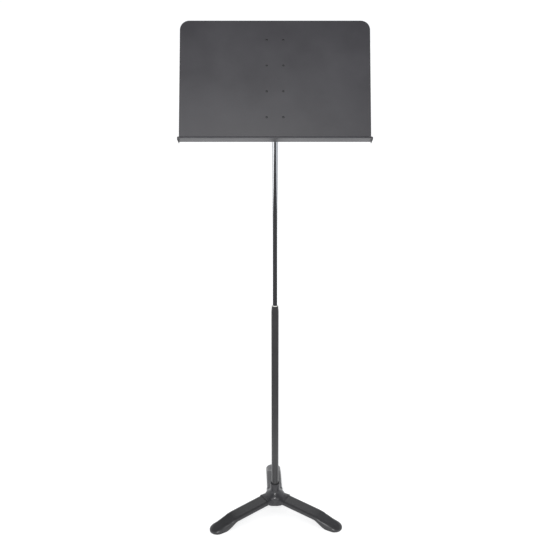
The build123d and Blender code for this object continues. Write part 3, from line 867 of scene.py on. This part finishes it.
def leg_skin():
    """A leg's outer skin, running out along X from under the hub."""
    bm = bmesh.new()
    bmesh.ops.create_grid(bm, x_segments=ALONG_LEG, y_segments=ACROSS_LEG, size=1.0)
    for vert in bm.verts:
        along = (vert.co.x + 1) / 2
        if along < STRAIGHT_SHARE:
            reach = LEG_START + (TOE_MIDDLE - LEG_START) * along / STRAIGHT_SHARE
            half = LEG_HALF
        else:
            turn = (along - STRAIGHT_SHARE) / (1 - STRAIGHT_SHARE) * pi / 2
            reach = TOE_MIDDLE + LEG_HALF * sin(turn)
            half = LEG_HALF * cos(turn)
        aside = half * sin(vert.co.y * pi / 2)
        inward = LEG_HALF - (abs(aside) if reach < TOE_MIDDLE else hypot(reach - TOE_MIDDLE, aside))
        crease = CREASE_START + CREASE_BOW * (aside / LEG_HALF) ** 2
        toe = gently((reach - crease) / STEP_RUN)
        spoon = gently((reach - crease) / SPOON_RUN)
        toe_depth = crown_height(reach) - rim_height(reach) - TIP_WALL
        round_in = SHOULDER + (TOE_SHOULDER - SHOULDER) * spoon
        round_down = SHOULDER * (1 - spoon) + toe_depth * spoon
        away = max(0.0, 1 - inward / round_in)
        drop = round_down * (1 - sqrt(max(0.0, 1 - away * away)))
        vert.co = (reach, aside, crown_height(reach) - drop - TOE_STEP * toe)
    bmesh.ops.remove_doubles(bm, verts=bm.verts[:], dist=1e-6)
    side_edges = [e for e in bm.edges if e.is_boundary and max(v.co.x for v in e.verts) > LEG_START + 1e-6]
    for edge in pull_edge(bm, side_edges, (0, 0, 0)):
        for vert in edge.verts:
            vert.co.z = min(vert.co.z, rim_height(vert.co.x))
    bmesh.ops.recalc_face_normals(bm, faces=bm.faces[:])
    if max(bm.faces, key=lambda f: f.calc_center_median().z).normal.z < 0:
        bmesh.ops.reverse_faces(bm, faces=bm.faces[:])
    return bm


leg_enamel = powder_coat("leg_enamel", (0.022, 0.022, 0.023), (0.032, 0.032, 0.034), 0.33, 0.15)
for side, bearing in BEARINGS.items():
    bm = leg_skin()
    bm.transform(Matrix.Rotation(bearing, 4, "Z"))
    pressed_leg = into_scene(f"pressed_leg_{side}", bm, leg_enamel)
    sheet_metal(pressed_leg, LEG_GAUGE, 0.0004)
    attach(pressed_leg, "base")
    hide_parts(f"leg_{side}")

# ==== foot pads ====
# A round rubber pad is pressed into the hollow of each toe and stands 2 mm below its rim.
# Ring-shaped grooves in its sole keep the stand from sliding.

PAD_R = 0.0219
PAD_TOP = 0.0042
GROOVE = 0.0007
GROOVE_WIDTH = 0.0018
GROOVE_RINGS = (0.0180, 0.0140, 0.0100, 0.0060)

pad_line = [
    (0.0, PAD_TOP),
    (PAD_R - 0.0006, PAD_TOP),
    (PAD_R, PAD_TOP - 0.0006),
    (PAD_R, 0.0008),
    (PAD_R - 0.0008, 0.0),
]
for outer in GROOVE_RINGS:
    inner = outer - GROOVE_WIDTH
    pad_line += [(outer, 0.0), (outer - 0.0003, GROOVE), (inner + 0.0003, GROOVE), (inner, 0.0)]
pad_line.append((0.0, 0.0))
foot_rubber = moulded("foot_rubber", (0.018, 0.018, 0.018), 0.75)
for side, bearing in BEARINGS.items():
    bm = turned(pad_line, 64)
    bm.transform(Matrix.Rotation(bearing, 4, "Z") @ Matrix.Translation((TOE_MIDDLE, 0, 0)))
    rubber_foot = into_scene(f"rubber_foot_{side}", bm, foot_rubber)
    smooth_but_for_corners(rubber_foot, 30)
    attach(rubber_foot, "base")
    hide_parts(f"foot_pad_{side}")

# ==== hub ====
# One iron casting holds the mast and the legs: a collar that flares like a bell into three
# short arms, hollow underneath, round a bored barrel. It is enamelled satin black over a
# slightly uneven cast skin, and each leg is screwed up into the hollow of its arm.

HUB_SKIN = 0.0018
ARM_END = 0.041
ARM_HALF = LEG_HALF + HUB_SKIN
ARM_INNER = 0.0095
ARM_ROOF = 0.0021
ARM_FLOOR = 0.0008
ARM_MIDDLE_Z = 0.045
CORNER_TURN = radians(50)
MIDDLE_TURN = radians(17)
COLLAR_R = 0.0155
COLLAR_TOP = 0.099
HUB_FLOOR = 0.024
TUBE_SEAT = 0.040
BARREL_R = 0.0200
BOLT_HOLE_R = 0.0051
TUBE_HOLE_R = 0.01115
BELL = [
    (0.0330, 0.0315),
    (0.0330, 0.0560),
    (0.0262, 0.0618),
    (0.0186, 0.0690),
    (0.0160, 0.0745),
    (0.0150, 0.0790),
]

bm = bmesh.new()
turns = [
    bearing + turn for bearing in sorted(BEARINGS.values())
    for turn in (-CORNER_TURN, -MIDDLE_TURN, MIDDLE_TURN, CORNER_TURN)
]
first_r, first_z = BELL[0]
ring_verts = [bm.verts.new((first_r * cos(turn), first_r * sin(turn), first_z)) for turn in turns]
ring_edges = [bm.edges.new(pair) for pair in zip(ring_verts, ring_verts[1:] + ring_verts[:1])]
for radius, height in BELL[1:]:
    ring_edges = pull_edge(bm, ring_edges, (0, 0, 0))
    for vert in {v for e in ring_edges for v in e.verts}:
        outward = Vector((vert.co.x, vert.co.y, 0)).normalized()
        vert.co = outward * radius + Vector((0, 0, height))
arm_ways = [Vector((cos(bearing), sin(bearing), 0)) for bearing in BEARINGS.values()]


def way_along(spot):
    """The direction of the arm nearest to a spot."""
    return max(arm_ways, key=lambda way: way.dot(spot))


roots = []
for face in bm.faces:
    middle = face.calc_center_median()
    level = Vector((middle.x, middle.y, 0))
    if middle.z < BELL[1][1] and way_along(level).angle(level) < CORNER_TURN:
        roots.append(face)
arms = bmesh.ops.extrude_face_region(bm, geom=roots)["geom"]
ends = [part for part in arms if isinstance(part, bmesh.types.BMFace)]
for vert in [part for part in arms if isinstance(part, bmesh.types.BMVert)]:
    way = way_along(vert.co)
    across = Vector((-way.y, way.x, 0))
    aside = vert.co.dot(across)
    is_corner = abs(aside) > 0.6 * first_r
    spread = (ARM_HALF if is_corner else ARM_INNER) * (1 if aside > 0 else -1)
    crown = CROWN_AT_AXIS - SLOPE * ARM_END
    height = crown + ARM_ROOF if vert.co.z > ARM_MIDDLE_Z else crown - WALL - ARM_FLOOR
    vert.co = way * ARM_END + across * spread + Vector((0, 0, height))
undersides = [f for f in bm.faces if f not in ends and all(v.co.z < ARM_MIDDLE_Z for v in f.verts)]
bmesh.ops.delete(bm, geom=ends + undersides, context="FACES")
bmesh.ops.recalc_face_normals(bm, faces=bm.faces[:])
neck_face = max(bm.faces, key=lambda f: f.calc_center_median().z)
if neck_face.normal.dot(neck_face.calc_center_median() * Vector((1, 1, 0))) < 0:
    bmesh.ops.reverse_faces(bm, faces=bm.faces[:])
cast_enamel = powder_coat("cast_enamel", (0.024, 0.024, 0.026), (0.034, 0.034, 0.037), 0.28, 0.5)
cast_hub = into_scene("cast_hub", bm, cast_enamel)
rounding = cast_hub.modifiers.new("rounding", "SUBSURF")
rounding.levels = 3
rounding.render_levels = 3
sheet_metal(cast_hub, HUB_SKIN, 0.0004)
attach(cast_hub, "base")
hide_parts("base_hub")

barrel_line = [
    (BOLT_HOLE_R, HUB_FLOOR),
    (BARREL_R - 0.0020, HUB_FLOOR),
    (BARREL_R - 0.0005, HUB_FLOOR + 0.0015),
    (BARREL_R, HUB_FLOOR + 0.0060),
    (BARREL_R, 0.0580),
    (COLLAR_R, 0.0640),
    (COLLAR_R, COLLAR_TOP - 0.0010),
    (COLLAR_R - 0.0003, COLLAR_TOP - 0.0003),
    (COLLAR_R - 0.0010, COLLAR_TOP),
    (0.0130, COLLAR_TOP),
    (0.0120, COLLAR_TOP - 0.0008),
    (TUBE_HOLE_R, COLLAR_TOP - 0.0030),
    (TUBE_HOLE_R, TUBE_SEAT),
    (BOLT_HOLE_R, TUBE_SEAT),
    (BOLT_HOLE_R, HUB_FLOOR),
]
hub_barrel = into_scene("hub_barrel", turned(barrel_line, 64), cast_enamel)
smooth_but_for_corners(hub_barrel, 30)
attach(hub_barrel, "base")

# ==== leg screws ====
# Two zinc-plated socket screws go up through each leg's crown into its arm of the hub, and
# their low round heads stay in the hollow of the leg.

SCREW_REACH = 0.031
SCREW_ASIDE = 0.009
SCREW_R = 0.0025
SCREW_HEAD_R = 0.0045
SCREW_HEAD_H = 0.003
SCREW_LENGTH = LEG_GAUGE + 0.0016
SOCKET_R = 0.0023
SOCKET_DEPTH = 0.0018


def socket_screw():
    """A screw with a low round head and a six-sided socket, its head upwards at the origin."""
    screw = bmesh.new()
    edges = chain_of(screw, [
        (0, 0, -SCREW_LENGTH),
        (SCREW_R - 0.0003, 0, -SCREW_LENGTH),
        (SCREW_R, 0, 0.0003 - SCREW_LENGTH),
        (SCREW_R, 0, 0),
        (SCREW_HEAD_R, 0, 0),
        (SCREW_HEAD_R, 0, SCREW_HEAD_H - 0.0004),
        (SCREW_HEAD_R - 0.0004, 0, SCREW_HEAD_H),
    ])
    bmesh.ops.spin(
        screw, geom=screw.verts[:] + edges, cent=(0, 0, 0), axis=(0, 0, 1), angle=2 * pi, steps=24,
        use_merge=True,
    )
    bmesh.ops.remove_doubles(screw, verts=screw.verts[:], dist=1e-7)
    rim_edges = [e for e in screw.edges if e.is_boundary]
    six = bmesh.ops.create_circle(screw, cap_ends=False, segments=6, radius=SOCKET_R)["verts"]
    bmesh.ops.translate(screw, verts=six, vec=(0, 0, SCREW_HEAD_H))
    six_edges = list({e for v in six for e in v.link_edges})
    bmesh.ops.bridge_loops(screw, edges=rim_edges + six_edges)
    well = pull_edge(screw, six_edges, (0, 0, -SOCKET_DEPTH))
    bmesh.ops.contextual_create(screw, geom=well)
    bmesh.ops.recalc_face_normals(screw, faces=screw.faces[:])
    return screw


bm = bmesh.new()
crown = CROWN_AT_AXIS - SLOPE * SCREW_REACH
into_leg = Matrix.Translation((0, 0, -LEG_GAUGE)) @ Matrix.Rotation(pi, 4, "X")
for bearing in BEARINGS.values():
    for aside in (-SCREW_ASIDE, SCREW_ASIDE):
        spot = Matrix.Rotation(bearing, 4, "Z") @ Matrix.Translation((SCREW_REACH, aside, crown))
        add_shape(bm, socket_screw(), spot @ Matrix.Rotation(atan(SLOPE), 4, "Y") @ into_leg)
bright_zinc = steel("bright_zinc", (0.62, 0.63, 0.64), 0.30, 0.3)
socket_screws = into_scene("socket_screws", bm, bright_zinc)
smooth_but_for_corners(socket_screws, 30)
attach(socket_screws, "base")
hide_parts("leg_screws")

# ==== base bolt and washer ====
# A zinc-plated bolt goes up through a broad washer and the hub's floor into the plug in
# the outer tube's foot, and draws the tube down into the hub.

BASE_BOLT_R = 0.005
BASE_BOLT_TOP = 0.060
BASE_HEX = 0.017
BASE_HEAD_H = 0.0064
WASHER_R = 0.012
WASHER_H = 0.002
THREAD_LOW = 0.042
BASE_HOLE_R = BASE_BOLT_R + 0.0001

washer_low = HUB_FLOOR - WASHER_H
bm = hexagon(BASE_HEX, washer_low - BASE_HEAD_H, washer_low, 0.0008)
bolt_line = [(0.0, washer_low), (BASE_BOLT_R, washer_low), (BASE_BOLT_R, THREAD_LOW)]
bolt_line += thread_line(BASE_BOLT_R, THREAD_LOW, BASE_BOLT_TOP - 0.001)
bolt_line += [(BASE_BOLT_R - 0.001, BASE_BOLT_TOP), (0.0, BASE_BOLT_TOP)]
add_shape(bm, turned(bolt_line, 48), Matrix.Identity(4))
foot_bolt = into_scene("foot_bolt", bm, bright_zinc)
smooth_but_for_corners(foot_bolt, 28)
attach(foot_bolt, "base")
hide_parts("base_bolt")

washer_line = [
    (BASE_HOLE_R, washer_low),
    (WASHER_R - 0.0003, washer_low),
    (WASHER_R, washer_low + 0.0003),
    (WASHER_R, HUB_FLOOR - 0.0001),
    (BASE_HOLE_R, HUB_FLOOR - 0.0001),
    (BASE_HOLE_R, washer_low),
]
foot_washer = into_scene("foot_washer", turned(washer_line, 64), bright_zinc)
smooth_but_for_corners(foot_washer, 30)
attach(foot_washer, "base")
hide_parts("base_washer")

# ==== clutch and plugs inside the tubes ====
# Out of sight in the outer tube: a zinc-plated core that turns on the inner tube's foot, two
# nylon shoes that a split steel ring presses against the bore, a clip, and the tubes' plugs.

spring_blue = steel("spring_blue", (0.26, 0.27, 0.30), 0.28, 0.2)
shoe_nylon = moulded("shoe_nylon", (0.20, 0.20, 0.20), 0.5)
for node, finish in (
    ("clutch_core", bright_zinc),
    ("mast_end_plug", bright_zinc),
    ("tube_foot_plug", bright_zinc),
    ("clutch_spring", spring_blue),
    ("clutch_clip", spring_blue),
    ("clutch_shoes", shoe_nylon),
):
    hidden = bpy.data.objects[node]
    hidden.data.materials.clear()
    hidden.data.materials.append(finish)
